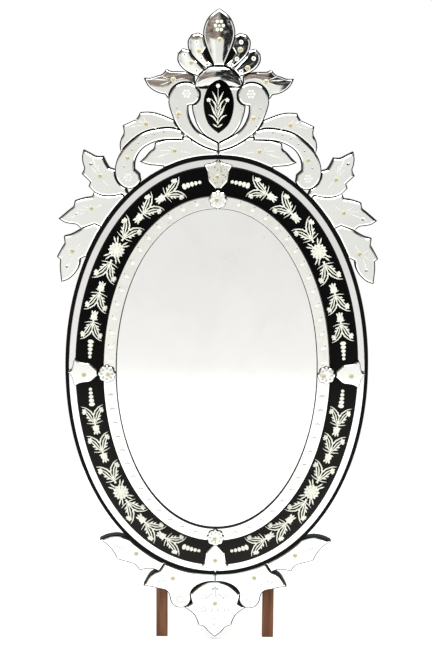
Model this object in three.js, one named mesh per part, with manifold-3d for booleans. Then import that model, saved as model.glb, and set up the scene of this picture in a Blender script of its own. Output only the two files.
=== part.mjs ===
import * as THREE from 'three';
import { mergeVertices } from 'three/addons/utils/BufferGeometryUtils.js';
import Module from 'manifold-3d';

// Wall mirror: an oval centre glass inside engraved glass bands on a stepped black carcass, with a
// crest of glass leaves and scrolls above, three leaves at each shoulder and an apron below.
// Millimetres, X to the right, Z up. The wall is the plane Y = 0 and the front looks along -Y.
// The origin is on the wall, at the middle of the hanging rail's back.

// Oval, from the outside in
const rimHalfWidth = 390;
const rimHalfHeight = 551;
const ovalPower = 2.063;
const rimWidth = 8.9;
const outerStripWidth = 18.6;
const blackBandWidth = 71.8;
const innerBandWidth = 33.9;
const quarterSteps = 14;

// Depths, from the wall forwards
const battenThickness = 18;
const backingThickness = 16;
const boardThickness = 25.4;
const rimHeight = 12.4;
const stripSeatHeight = 8.8;
const blackSeatHeight = 14.5;
const innerSeatHeight = 27.4;
const glassThickness = 4;
const centreGlassThickness = 5;
const centreGlassRise = 18;
const centreTuck = 6;

// Clearances: between pieces that touch, between glass pieces side by side, and the black border
// of board that shows round each glass piece
const fitGap = 0.3;
const seam = 1;
const boardMargin = 1.5;

// Back frame
const battenWidth = 30;
const battenSpacing = 284;
const battenBelowRimTop = 55;
const legBelowRim = 187;
const railHeight = 60;
const hangHeight = 300;

// Bells and rosettes over the joints of the bands
const bellLength = 77;
const bellHalfMouth = 36;
const bellTipInset = 8;
const rosetteRadius = 23.5;
const rosetteInset = 109;
const sideCoverDrop = 6;
const rosetteScallops = 8;
const scallopDepth = 0.11;

// Ornament sizes: how high each group stands, from its point on the rim
const crestHeight = 358;
const shoulderHeight = 189;
const apronHeight = 174;
const shoulderTurn = THREE.MathUtils.degToRad(41.7);
const outlineStep = 17;

// Places that follow from the sizes above
const backingBack = battenThickness + fitGap;
const backingFront = backingBack + backingThickness;
const carcassBack = backingFront + fitGap;
const rimFront = carcassBack + rimHeight;
const stripSeat = carcassBack + stripSeatHeight;
const blackSeat = carcassBack + blackSeatHeight;
const innerSeat = carcassBack + innerSeatHeight;
const blackFront = blackSeat + fitGap + glassThickness;
const innerFront = innerSeat + fitGap + glassThickness;
const centreBack = carcassBack + centreGlassRise;
const centreFront = centreBack + centreGlassThickness;
const stripInset = rimWidth;
const blackInset = stripInset + outerStripWidth;
const innerInset = blackInset + blackBandWidth;
const openingInset = innerInset + innerBandWidth;
const boardFront = backingBack + boardThickness;
const lowGlassBack = boardFront + fitGap;
const padFront = lowGlassBack + glassThickness;
const highGlassBack = padFront + fitGap;

const mirrorGlass = new THREE.MeshStandardMaterial({ color: '#dfe0dd', roughness: 0.06, metalness: 0.9 });
const blackGlass = new THREE.MeshStandardMaterial({ color: '#15161a', roughness: 0.12, metalness: 0 });
const blackWood = new THREE.MeshStandardMaterial({ color: '#121212', roughness: 0.55, metalness: 0 });
const brownWood = new THREE.MeshStandardMaterial({ color: '#7a4e38', roughness: 0.7, metalness: 0 });

const wasm = await Module();
wasm.setup();

const mirror = new THREE.Group();
const oval = new THREE.Group();
oval.position.z = -hangHeight;
mirror.add(oval);

function place(name, geometry, material) {
  const mesh = new THREE.Mesh(geometry, material);
  mesh.name = name;
  oval.add(mesh);
}

// Solids for joining and cutting

function toSolid(geometry) {
  const bare = geometry.clone();
  bare.deleteAttribute('normal');
  bare.deleteAttribute('uv');
  const merged = mergeVertices(bare, 1e-4);
  const vertProperties = new Float32Array(merged.attributes.position.array);
  const triVerts = new Uint32Array(merged.index.array);
  return new wasm.Manifold(new wasm.Mesh({ numProp: 3, vertProperties, triVerts }));
}

function toGeometry(solid) {
  const mesh = solid.getMesh();
  const geometry = new THREE.BufferGeometry();
  geometry.setAttribute('position', new THREE.BufferAttribute(new Float32Array(mesh.vertProperties), 3));
  geometry.setIndex(new THREE.BufferAttribute(new Uint32Array(mesh.triVerts), 1));
  geometry.computeVertexNormals();
  return geometry;
}

function join(solids) {
  return solids.reduce((whole, next) => whole.add(next));
}

function cut(solid, cutters) {
  return cutters.reduce((rest, cutter) => rest.subtract(cutter), solid);
}

// The oval: a superellipse, inset by the same amount at its four ends

function ovalPoint(inset, turn) {
  const c = Math.cos(turn);
  const s = Math.sin(turn);
  const x = (rimHalfWidth - inset) * Math.sign(c) * Math.abs(c) ** (2 / ovalPower);
  const z = (rimHalfHeight - inset) * Math.sign(s) * Math.abs(s) ** (2 / ovalPower);
  return [x, z];
}

function ovalOutline(inset) {
  const steps = quarterSteps * 4;
  return Array.from({ length: steps }, (_, i) => ovalPoint(inset, (i / steps) * 2 * Math.PI));
}

// A point of a band's quarter, with its two ends half a gap off the joint planes
function quarterPoint(inset, step) {
  const halfWidth = rimHalfWidth - inset;
  const halfHeight = rimHalfHeight - inset;
  const half = fitGap / 2;
  const across = (along, reach, otherReach) => (
    reach * (1 - (along / otherReach) ** ovalPower) ** (1 / ovalPower)
  );
  if (step === 0) return [across(half, halfWidth, halfHeight), half];
  if (step === quarterSteps) return [half, across(half, halfHeight, halfWidth)];
  return ovalPoint(inset, (step / quarterSteps) * (Math.PI / 2));
}

// Sweeps a closed section of [inset, depth] points, given in counterclockwise order, through stations
function sweep(section, stationPoint, stations, closed) {
  const positions = [];
  for (let station = 0; station < stations; station += 1) {
    for (const [inset, depth] of section) {
      const [x, z] = stationPoint(inset, station);
      positions.push(x, -depth, z);
    }
  }
  const count = section.length;
  const indices = [];
  const spans = closed ? stations : stations - 1;
  for (let station = 0; station < spans; station += 1) {
    const here = station * count;
    const next = ((station + 1) % stations) * count;
    for (let i = 0; i < count; i += 1) {
      const j = (i + 1) % count;
      indices.push(here + i, next + i, next + j);
      indices.push(here + i, next + j, here + j);
    }
  }
  if (!closed) {
    const flat = section.map(([inset, depth]) => new THREE.Vector2(inset, depth));
    const last = (stations - 1) * count;
    for (const [a, b, c] of THREE.ShapeUtils.triangulateShape(flat, [])) {
      indices.push(a, b, c);
      indices.push(last + a, last + c, last + b);
    }
  }
  const geometry = new THREE.BufferGeometry();
  geometry.setAttribute('position', new THREE.Float32BufferAttribute(positions, 3));
  geometry.setIndex(indices);
  return facingOut(geometry);
}

// Turns every face over when the closed mesh came out inside out
function facingOut(geometry) {
  const at = geometry.attributes.position;
  const order = Array.from(geometry.index.array);
  const corner = (i) => new THREE.Vector3().fromBufferAttribute(at, order[i]);
  let volume = 0;
  for (let i = 0; i < order.length; i += 3) {
    volume += corner(i).dot(corner(i + 1).cross(corner(i + 2)));
  }
  if (volume < 0) {
    for (let i = 0; i < order.length; i += 3) {
      [order[i + 1], order[i + 2]] = [order[i + 2], order[i + 1]];
    }
    geometry.setIndex(order);
  }
  geometry.computeVertexNormals();
  return geometry;
}

// Flat plates: an outline of [x, z] points, with its back a given distance off the wall

function plate(outline, back, thickness) {
  const shape = new THREE.Shape(outline.map(([x, z]) => new THREE.Vector2(x, z)));
  const geometry = new THREE.ExtrudeGeometry(shape, { depth: thickness, bevelEnabled: false });
  geometry.translate(0, 0, back);
  geometry.rotateX(Math.PI / 2);
  return geometry;
}

function mirrored(outline) {
  return outline.map(([x, z]) => [-x, z]).reverse();
}

// Draws an outline through runs of points: each run is one smooth curve that ends in a corner
function draw(start, runs) {
  const outline = [];
  let from = start;
  for (const run of runs) {
    const through = [from, ...run].map(([x, z]) => new THREE.Vector2(x, z));
    const isCurved = run.length > 1;
    const curve = isCurved ? new THREE.SplineCurve(through) : new THREE.LineCurve(through[0], through[1]);
    const steps = isCurved ? Math.max(run.length, Math.round(curve.getLength() / outlineStep)) : 1;
    for (const point of curve.getSpacedPoints(steps).slice(0, -1)) outline.push([point.x, point.y]);
    from = run[run.length - 1];
  }
  if (Math.hypot(from[0] - start[0], from[1] - start[1]) > fitGap) outline.push(from);
  return outline;
}

// The right half of a symmetric outline, from its top to its bottom on the middle line, made whole
function bothHalves(half) {
  const [first, ...rest] = half;
  const other = rest.filter(([x]) => x > 1e-6).map(([x, z]) => [-x, z]).reverse();
  return [first, ...rest, ...other];
}

function signedArea(outline) {
  return outline.reduce((sum, [x, z], i) => {
    const [nextX, nextZ] = outline[(i + 1) % outline.length];
    return sum + x * nextZ - nextX * z;
  }, 0) / 2;
}

// Grows an outline by a distance, with its sharp corners kept short
function grown(outline, distance) {
  const side = Math.sign(signedArea(outline));
  const sharpest = 1.6;
  return outline.map((point, i) => {
    const here = new THREE.Vector2(...point);
    const before = new THREE.Vector2(...outline[(i + outline.length - 1) % outline.length]);
    const after = new THREE.Vector2(...outline[(i + 1) % outline.length]);
    const into = here.clone().sub(before).normalize();
    const away = after.clone().sub(here).normalize();
    const normal = new THREE.Vector2(into.y + away.y, -into.x - away.x).normalize();
    const stretch = Math.min(sharpest, 1 / Math.max(0.2, normal.dot(new THREE.Vector2(into.y, -into.x))));
    here.addScaledVector(normal, side * distance * stretch);
    return [here.x, here.y];
  });
}

// Outlines are drawn in millimetres from a point on the rim, at the size that its group has here
function placedAt([anchorX, anchorZ], scale) {
  return ([x, z]) => [anchorX + x * scale, anchorZ + z * scale];
}

function drawnFrom(anchor, scale, start, runs) {
  const toPlace = placedAt(anchor, scale);
  return draw(toPlace(start), runs.map((run) => run.map(toPlace)));
}

// Crest, above the top of the rim
const crestDrawnHeight = 358;
const crestAnchor = [0, rimHalfHeight];
const crestScale = crestHeight / crestDrawnHeight;
const crest = (start, ...runs) => drawnFrom(crestAnchor, crestScale, start, runs);

const tipLeaf = crest(
  [0, 358],
  [[25, 339], [38, 307], [34, 276], [12, 222]],
  [[-12, 222]],
  [[-34, 276], [-38, 307], [-25, 339], [0, 358]],
);
const upperLobe = crest(
  [36, 292],
  [[55, 300], [70, 293], [77, 275], [70, 250], [51, 229], [31, 214]],
  [[15, 223]],
  [[31, 237], [40, 252], [30, 268]],
  [[36, 292]],
);
const lowerLobe = crest(
  [74, 258],
  [[86, 262], [98, 255], [103, 240], [98, 225], [87, 212], [69, 202], [51, 196]],
  [[36, 212]],
  [[47, 223], [62, 240], [74, 258]],
);
const dome = bothHalves(crest(
  [0, 223],
  [[22, 219], [40, 206], [51, 194], [58, 180]],
  [[58, 169]],
  [[0, 169]],
));
const sideLeaf = crest(
  [61, 195],
  [[78, 204], [98, 205], [120, 206]],
  [[130, 210]],
  [[138, 200], [154, 194], [168, 189], [185, 189]],
  [[178, 175], [166, 163], [148, 154], [133, 151]],
  [[126, 141]],
  [[95, 140]],
  [[61, 175]],
  [[61, 195]],
);
const shield = bothHalves(crest(
  [0, 168],
  [[54, 168]],
  [[66, 129]],
  [[64, 109], [52, 74], [30, 46], [0, 30]],
));
const medallion = bothHalves(crest(
  [0, 194],
  [[20, 179], [32, 157], [38, 131], [34, 99], [22, 73], [0, 55]],
));
const cScroll = crest(
  [fitGap, 11],
  [[35, 22], [68, 41], [98, 66], [117, 104], [124, 138], [111, 168], [81, 179], [55, 168], [48, 146],
    [60, 128], [77, 124]],
  [[76, 104], [66, 77], [44, 53], [fitGap, 29]],
  [[fitGap, 11]],
);
const upperLeaf = crest(
  [106, 83],
  [[132, 94], [155, 102], [176, 105], [195, 104]],
  [[200, 92], [218, 81], [238, 72]],
  [[236, 54]],
  [[243, 39], [246, 22], [243, 6]],
  [[224, 17], [183, 47], [134, 59], [98, 54]],
  [[106, 83]],
);
const outerScroll = crest(
  [84, 57],
  [[110, 65], [136, 66], [186, 55], [229, 23], [252, -10], [258, -48], [243, -76], [216, -84], [197, -70],
    [198, -49], [211, -37]],
  [[208, -10], [187, 19], [146, 37], [92, 40]],
  [[84, 57]],
);
const lowerLeaf = crest(
  [fitGap, 18],
  [[60, 42]],
  [[98, 45]],
  [[130, 38], [158, 29]],
  [[161, 16]],
  [[170, 9], [182, -5], [195, -17]],
  [[183, -22], [160, -25], [137, -27]],
  [[134, -60]],
  [[fitGap, -30]],
  [[fitGap, 18]],
);
// The neck of board that shows black at both sides of the tip leaf's narrow foot
const crestNeck = bothHalves(crest([0, 290], [[36, 290]], [[40, 250]], [[31, 214]], [[0, 214]]));

// Shoulder leaves, from a point on the rim's upper quarter
const shoulderDrawnHeight = 189;
const shoulderAnchor = ovalPoint(0, shoulderTurn);
const shoulderScale = shoulderHeight / shoulderDrawnHeight;
const shoulder = (start, ...runs) => drawnFrom(shoulderAnchor, shoulderScale, start, runs);

const upturnedLeaf = shoulder(
  [44, 189],
  [[28, 181], [10, 173], [-4, 174]],
  [[-11, 159], [-19, 146], [-34, 141]],
  [[-60, 100]],
  [[-75, 60]],
  [[-52, 82]],
  [[-27, 77], [-2, 78], [16, 85]],
  [[31, 100]],
  [[27, 111]],
  [[37, 121], [48, 131]],
  [[42, 145]],
  [[47, 168], [44, 189]],
);
const midLeaf = shoulder(
  [16, 88],
  [[24, 72]],
  [[45, 69], [67, 62]],
  [[70, 49]],
  [[88, 34], [107, 18]],
  [[90, 8], [64, 4], [52, -6]],
  [[18, 6]],
  [[0, -2]],
  [[-30, 0]],
  [[-70, 70]],
  [[-30, 88]],
  [[16, 88]],
);
const droopingLeaf = shoulder(
  [18, 6],
  [[50, -7], [73, -21], [95, -28]],
  [[93, -44]],
  [[104, -62], [113, -79]],
  [[105, -85]],
  [[106, -107], [103, -142]],
  [[87, -136], [68, -119], [57, -96], [56, -84]],
  [[46, -79]],
  [[20, -70]],
  [[-20, 0]],
  [[18, 6]],
);

// Apron, below the foot of the rim
const apronDrawnHeight = 174;
const apronAnchor = [0, -rimHalfHeight];
const apronScale = apronHeight / apronDrawnHeight;
const apron = (start, ...runs) => drawnFrom(apronAnchor, apronScale, start, runs);

const apronShield = bothHalves(apron(
  [0, -21],
  [[23, -24], [46, -37], [66, -57]],
  [[60, -80]],
  [[80, -93]],
  [[58, -109], [48, -125], [42, -142]],
  [[28, -147]],
  [[13, -164], [0, -174]],
));
const wing = apron(
  [fitGap, 20],
  [[fitGap, -20]],
  [[20, -21], [42, -28], [58, -40], [66, -55]],
  [[65, -71], [71, -84], [82, -92], [95, -93], [108, -88], [117, -74], [121, -56], [131, -45]],
  [[146, -42], [160, -37], [188, -33]],
  [[175, -9], [160, 3], [147, 9]],
  [[120, 50]],
  [[fitGap, 20]],
);
const outerLeaf = apron(
  [303, 92],
  [[280, 101], [253, 103], [230, 96], [210, 88]],
  [[190, 110]],
  [[110, 60]],
  [[128, 22]],
  [[138, 18]],
  [[147, 8]],
  [[165, 14], [182, 14], [200, 10]],
  [[212, 26], [234, 33], [258, 40]],
  [[268, 60], [286, 81], [303, 92]],
);
// Black board that shows as a crescent above the apron's shield
const apronCrescent = bothHalves(apron([0, -16], [[40, -20], [62, -38], [70, -60]], [[0, -90]]));

// Cutters: the rim, and a glass piece's own outline grown by the seam

const rimCutter = toSolid(plate(ovalOutline(-fitGap), -battenThickness, innerFront * 2));

function seamCutter(outline) {
  return toSolid(plate(grown(outline, seam), 0, innerFront));
}

function lowGlass(outline) {
  return toSolid(plate(outline, lowGlassBack, glassThickness));
}

function highGlass(outline) {
  return toSolid(plate(outline, highGlassBack, glassThickness));
}

function boardSolid(outline) {
  return toSolid(plate(grown(outline, boardMargin), backingBack, boardThickness));
}

function padSolid(outline) {
  return toSolid(plate(outline, backingBack, padFront - backingBack));
}

function bothSides(outline) {
  return [outline, mirrored(outline)];
}

function placeGlass(name, outline, make, cutters) {
  place(name, toGeometry(cut(make(outline), [rimCutter, ...cutters])), mirrorGlass);
}

function placeGlassPair(name, outline, make, cutOutlines) {
  const sides = [['right', (shape) => shape], ['left', mirrored]];
  for (const [side, turnOver] of sides) {
    const cutters = cutOutlines.map((shape) => seamCutter(turnOver(shape)));
    placeGlass(`${name}_${side}`, turnOver(outline), make, cutters);
  }
}

// Carcass, backing, battens and rail

function addBackFrame() {
  const top = rimHalfHeight - battenBelowRimTop;
  const bottom = -rimHalfHeight - legBelowRim;
  const battenLength = top - bottom;
  for (const [name, side] of [['batten_left', -1], ['batten_right', 1]]) {
    const batten = new THREE.BoxGeometry(battenWidth, battenThickness, battenLength);
    batten.translate((side * battenSpacing) / 2, -battenThickness / 2, (top + bottom) / 2);
    place(name, batten, brownWood);
  }
  const railLength = battenSpacing - battenWidth - 2 * fitGap;
  const rail = new THREE.BoxGeometry(railLength, battenThickness, railHeight);
  rail.translate(0, -battenThickness / 2, hangHeight);
  place('hanging_rail', rail, brownWood);
  // A raised panel of the board fills the carcass behind the centre glass
  const board = toSolid(plate(ovalOutline(0), backingBack, backingThickness));
  const panelHeight = centreBack - fitGap - backingBack;
  const panel = toSolid(plate(ovalOutline(openingInset - centreTuck), backingBack, panelHeight));
  place('backing_board', toGeometry(join([board, panel])), brownWood);
}

function addCarcass() {
  const lip = centreFront + fitGap;
  const rebate = openingInset - centreTuck - fitGap;
  const section = [
    [0, carcassBack],
    [0, rimFront],
    [stripInset, rimFront],
    [stripInset, stripSeat],
    [blackInset, stripSeat],
    [blackInset, blackSeat],
    [innerInset, blackSeat],
    [innerInset, innerSeat],
    [openingInset, innerSeat],
    [openingInset, lip],
    [rebate, lip],
    [rebate, carcassBack],
  ];
  const stations = quarterSteps * 4;
  const stationPoint = (inset, station) => ovalPoint(inset, (station / stations) * 2 * Math.PI);
  place('carcass', sweep(section, stationPoint, stations, true), blackWood);
  const centreGlass = plate(ovalOutline(openingInset - centreTuck), centreBack, centreGlassThickness);
  place('centre_mirror', centreGlass, mirrorGlass);
}

// Each band is four quarters, with its joints at the top, the bottom and the two sides
function addBand(name, outerInset, width, seat, material) {
  const back = seat + fitGap;
  const front = back + glassThickness;
  const outer = outerInset + fitGap;
  const inner = outerInset + width - fitGap;
  const section = [[outer, back], [inner, back], [inner, front], [outer, front]];
  const corners = [
    ['top_right', 1, 1],
    ['top_left', -1, 1],
    ['bottom_left', -1, -1],
    ['bottom_right', 1, -1],
  ];
  for (const [corner, sideX, sideZ] of corners) {
    const stationPoint = (inset, step) => {
      const [x, z] = quarterPoint(inset, step);
      return [sideX * x, sideZ * z];
    };
    place(`${name}_${corner}`, sweep(section, stationPoint, quarterSteps + 1, false), material);
  }
}

// Bells and rosettes: drawn with their outer end up, then turned to the four joints
const bellDrawnLength = 77;
const bellDrawnHalfMouth = 36;
const rosettePoints = rosetteScallops * 4;

function addJointCovers() {
  const wide = bellHalfMouth / bellDrawnHalfMouth;
  const long = bellLength / bellDrawnLength;
  const bellHalf = draw([0, bellDrawnLength], [
    [[6, 71], [14, 66], [23, 65], [36, 60]],
    [[29, 48], [26, 33], [24, 21], [15, 10], [6, 0]],
    [[0, 0]],
  ]);
  const bell = bothHalves(bellHalf).map(([x, z]) => [x * wide, (z - bellDrawnLength) * long]);
  const rosette = Array.from({ length: rosettePoints }, (_, i) => {
    const turn = (i / rosettePoints) * 2 * Math.PI;
    const lobe = Math.abs(Math.cos((rosetteScallops / 2) * turn));
    const radius = rosetteRadius * (1 - scallopDepth * (1 - lobe));
    return [radius * Math.sin(turn), radius * Math.cos(turn)];
  });
  const joints = [['top', 0], ['left', 1], ['bottom', 2], ['right', 3]];
  for (const [joint, quarters] of joints) {
    const isSide = quarters % 2 === 1;
    const reach = isSide ? rimHalfWidth : rimHalfHeight;
    const drop = isSide ? sideCoverDrop : 0;
    const turn = (quarters * Math.PI) / 2;
    const turned = (outline, lift) => outline.map(([x, z]) => {
      const out = z + lift;
      return [x * Math.cos(turn) - out * Math.sin(turn), x * Math.sin(turn) + out * Math.cos(turn) - drop];
    });
    const bellPlate = plate(turned(bell, reach - bellTipInset), blackFront + fitGap, glassThickness);
    const rosettePlate = plate(turned(rosette, reach - rosetteInset), innerFront + fitGap, glassThickness);
    place(`bell_${joint}`, bellPlate, mirrorGlass);
    place(`rosette_${joint}`, rosettePlate, mirrorGlass);
  }
}

function addCrest() {
  const paired = [upperLobe, lowerLobe, sideLeaf, cScroll, upperLeaf, outerScroll, lowerLeaf];
  const raised = [cScroll, outerScroll].flatMap(bothSides);
  const boards = [tipLeaf, crestNeck, dome, shield, ...paired.flatMap(bothSides)].map(boardSolid);
  const pads = [tipLeaf, ...raised].map(padSolid);
  place('crest_board', toGeometry(cut(join([...boards, ...pads]), [rimCutter])), blackWood);

  placeGlass('tip_leaf', tipLeaf, highGlass, []);
  placeGlassPair('upper_lobe', upperLobe, lowGlass, [tipLeaf, dome]);
  placeGlassPair('lower_lobe', lowerLobe, lowGlass, [upperLobe, dome]);
  placeGlass('crest_dome', dome, lowGlass, [tipLeaf, ...bothSides(cScroll)].map(seamCutter));
  placeGlassPair('side_leaf', sideLeaf, lowGlass, [cScroll, dome, lowerLobe]);
  placeGlass('crest_shield', shield, lowGlass, bothSides(cScroll).map(seamCutter));
  placeGlass('medallion', medallion, highGlass, []);
  placeGlassPair('c_scroll', cScroll, highGlass, []);
  placeGlassPair('upper_leaf', upperLeaf, lowGlass, [outerScroll, cScroll]);
  placeGlassPair('outer_scroll', outerScroll, highGlass, [cScroll]);
  placeGlassPair('lower_leaf', lowerLeaf, lowGlass, [cScroll, outerScroll]);
}

function addShoulders() {
  const crestEdge = boardMargin + fitGap;
  for (const [side, turnOver] of [['right', (shape) => shape], ['left', mirrored]]) {
    const leaves = [upturnedLeaf, midLeaf, droopingLeaf].map(turnOver).map(boardSolid);
    const neighbours = [outerScroll, lowerLeaf, upperLeaf].map(turnOver);
    const cutters = neighbours.map((shape) => toSolid(plate(grown(shape, crestEdge), 0, innerFront)));
    const board = cut(join(leaves), [rimCutter, ...cutters]);
    place(`shoulder_board_${side}`, toGeometry(board), blackWood);
  }
  placeGlassPair('upturned_leaf', upturnedLeaf, lowGlass, [outerScroll, lowerLeaf]);
  placeGlassPair('mid_leaf', midLeaf, lowGlass, [upturnedLeaf, outerScroll]);
  placeGlassPair('drooping_leaf', droopingLeaf, lowGlass, [midLeaf]);
}

function addApron() {
  const boards = [apronShield, apronCrescent, ...[wing, outerLeaf].flatMap(bothSides)].map(boardSolid);
  place('apron_board', toGeometry(cut(join(boards), [rimCutter])), blackWood);
  placeGlassPair('apron_wing', wing, lowGlass, []);
  placeGlassPair('apron_leaf', outerLeaf, lowGlass, [wing]);
  placeGlass('apron_shield', apronShield, lowGlass, bothSides(wing).map(seamCutter));
}

addBackFrame();
addCarcass();
addBand('outer_strip', stripInset, outerStripWidth, stripSeat, mirrorGlass);
addBand('black_band', blackInset, blackBandWidth, blackSeat, blackGlass);
addBand('inner_band', innerInset, innerBandWidth, innerSeat, mirrorGlass);
addJointCovers();
addCrest();
addShoulders();
addApron();

export default mirror;
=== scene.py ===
import math

import bmesh
import bpy
import numpy as np
from mathutils import Matrix, Vector
from mathutils.bvhtree import BVHTree
from mathutils.geometry import delaunay_2d_cdt, tessellate_polygon


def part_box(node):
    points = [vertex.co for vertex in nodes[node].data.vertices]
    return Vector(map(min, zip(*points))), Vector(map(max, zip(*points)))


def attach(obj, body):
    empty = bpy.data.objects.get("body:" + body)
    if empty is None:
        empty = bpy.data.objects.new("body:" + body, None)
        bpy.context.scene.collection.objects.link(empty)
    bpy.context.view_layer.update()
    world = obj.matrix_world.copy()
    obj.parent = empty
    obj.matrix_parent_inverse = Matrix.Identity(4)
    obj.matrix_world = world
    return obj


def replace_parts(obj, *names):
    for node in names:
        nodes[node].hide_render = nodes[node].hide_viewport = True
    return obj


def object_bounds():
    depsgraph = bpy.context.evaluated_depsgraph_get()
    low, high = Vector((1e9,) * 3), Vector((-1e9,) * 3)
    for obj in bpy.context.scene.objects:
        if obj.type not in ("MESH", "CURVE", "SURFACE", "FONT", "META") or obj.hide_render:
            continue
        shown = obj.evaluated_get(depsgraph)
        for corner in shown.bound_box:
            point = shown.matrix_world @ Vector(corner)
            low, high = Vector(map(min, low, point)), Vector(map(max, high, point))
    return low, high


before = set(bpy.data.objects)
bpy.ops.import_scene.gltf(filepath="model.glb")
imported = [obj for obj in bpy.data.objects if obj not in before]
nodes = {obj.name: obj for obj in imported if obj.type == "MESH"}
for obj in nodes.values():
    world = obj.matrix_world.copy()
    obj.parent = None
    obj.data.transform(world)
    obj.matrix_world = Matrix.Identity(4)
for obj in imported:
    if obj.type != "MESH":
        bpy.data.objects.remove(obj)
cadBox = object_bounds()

scene = bpy.context.scene
mm = 0.001
halves = ((-1, "left"), (1, "right"))


# Turns at even steps round a circle
def roundTurns(count, shift=0):
    return [(k + shift) / count * 2 * math.pi for k in range(count)]



print("frame loaded:", len(nodes), "solids")


# Camera: at eye height in front, looking a little down, as in the photograph
view = {
    "place": (-0.0027, -3.552, 0.4485),
    "down": 0.177,
    "roll": math.radians(0.43),
    "lens": 77.244,
    "sensor": 36,
}


def addCamera():
    data = bpy.data.cameras.new("viewCamera")
    data.lens = view["lens"]
    data.sensor_width = view["sensor"]
    data.clip_start = 0.05
    data.clip_end = 200
    camera = bpy.data.objects.new("viewCamera", data)
    scene.collection.objects.link(camera)
    across = Vector((1, 0, 0))
    upward = Vector((0, math.sin(view["down"]), math.cos(view["down"])))
    cosRoll, sinRoll = math.cos(view["roll"]), math.sin(view["roll"])
    right = cosRoll * across + sinRoll * upward
    up = cosRoll * upward - sinRoll * across
    back = right.cross(up)
    turn = Matrix((right, up, back)).transposed().to_4x4()
    camera.matrix_world = Matrix.Translation(view["place"]) @ turn
    scene.camera = camera


addCamera()
print("camera placed")


# Materials

class Wire:  # an output socket that takes part in sums
    def __init__(self, finish, node, socket):
        self.finish = finish
        self.node = node
        self.socket = socket

    def pick(self, name):
        return Wire(self.finish, self.node, self.node.outputs[name])

    def join(self, operation, first, second):
        return self.finish.node("ShaderNodeMath", {"operation": operation}, {0: first, 1: second})

    def __add__(self, other):
        return self.join("ADD", self, other)

    def __radd__(self, other):
        return self.join("ADD", other, self)

    def __sub__(self, other):
        return self.join("SUBTRACT", self, other)

    def __rsub__(self, other):
        return self.join("SUBTRACT", other, self)

    def __mul__(self, other):
        return self.join("MULTIPLY", self, other)

    def __rmul__(self, other):
        return self.join("MULTIPLY", other, self)

    def between(self, low, high):  # 0 below low, 1 above high
        settings = {"interpolation_type": "SMOOTHSTEP"}
        return self.finish.node("ShaderNodeMapRange", settings, {"Value": self, 1: low, 2: high})

    def within(self, a, b, c, d):  # 1 from b to c, 0 outside a and d
        return self.between(a, b) * (1 - self.between(c, d))


class Finish:  # the nodes of one material or of the world
    def __init__(self, owner):
        owner.use_nodes = True
        self.tree = owner.node_tree
        self.tree.nodes.clear()

    def node(self, kind, settings, inputs):
        made = self.tree.nodes.new(kind)
        for key, value in settings.items():
            if key == "stops":
                ramp = made.color_ramp
                while len(ramp.elements) < len(value):
                    ramp.elements.new(0.5)
                for stop, (place, colour) in zip(ramp.elements, value):
                    stop.position = place
                    stop.color = (*colour, 1)
            else:
                setattr(made, key, value)
        for key, value in inputs.items():
            if isinstance(value, Wire):
                self.tree.links.new(value.socket, made.inputs[key])
            elif isinstance(value, tuple) and len(value) == 3 and made.inputs[key].type == "RGBA":
                made.inputs[key].default_value = (*value, 1)
            else:
                made.inputs[key].default_value = value
        shown = [socket for socket in made.outputs if socket.enabled]
        return Wire(self, made, shown[0]) if shown else None

    def noise(self, vector, scale, detail, roughness, distortion=0):
        inputs = {"Vector": vector, "Scale": scale, "Detail": detail, "Roughness": roughness}
        return self.node("ShaderNodeTexNoise", {}, {**inputs, "Distortion": distortion})

    def mix(self, factor, first, second):
        return self.node("ShaderNodeMix", {"data_type": "RGBA"}, {0: factor, 6: first, 7: second})

    def ramp(self, value, stops):
        return self.node("ShaderNodeValToRGB", {"stops": stops}, {"Fac": value})

    def place(self):
        return self.node("ShaderNodeTexCoord", {}, {}).pick("Object")

    def stretched(self, vector, scale):
        return self.node("ShaderNodeMapping", {}, {"Vector": vector, "Scale": scale})

    def bump(self, height, strength, distance):
        inputs = {"Height": height, "Strength": strength, "Distance": distance}
        return self.node("ShaderNodeBump", {}, inputs)

    def surface(self, inputs):
        shader = self.node("ShaderNodeBsdfPrincipled", {}, inputs)
        self.node("ShaderNodeOutputMaterial", {}, {"Surface": shader})


def newFinish(name):
    material = bpy.data.materials.new(name)
    return material, Finish(material)


# Silvered glass; the kinds of it below change some of these values
silver = {
    "clean": (0.93, 0.935, 0.895),
    "clouded": (0.885, 0.885, 0.84),
    "spot": (0.62, 0.60, 0.55),
    "cloudScale": 9,
    "spotScale": 150,
    "spotFrom": 0.70,
    "patchFrom": 0.45,
    "roughness": 0.085,
    "uneven": 0.03,
    "wave": 0.02,
}


def mirrorFinish(name, changes):
    look = {**silver, **changes}
    material, finish = newFinish(name)
    place = finish.place()
    clouds = finish.noise(place, look["cloudScale"], 5, 0.6, 0.4)
    specks = finish.noise(place, look["spotScale"], 2, 0.5)
    patches = finish.noise(place, look["cloudScale"] * 1.7, 2, 0.5)
    foxing = specks.between(look["spotFrom"], look["spotFrom"] + 0.06)
    foxing = foxing * patches.between(look["patchFrom"], look["patchFrom"] + 0.25)
    colour = finish.mix(clouds.between(0.35, 0.75), look["clean"], look["clouded"])
    colour = finish.mix(foxing * 0.6, colour, look["spot"])
    roughness = look["roughness"] + clouds * look["uneven"] + foxing * 0.15
    waves = finish.bump(finish.noise(place, 7, 1, 0.4), look["wave"], 0.02)
    finish.surface({"Base Color": colour, "Metallic": 1.0, "Roughness": roughness, "Normal": waves})
    return material


edgeLook = {"dark": (0.006, 0.009, 0.008), "pale": (0.022, 0.030, 0.026), "roughness": 0.3, "gloss": 0.10}


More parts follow.
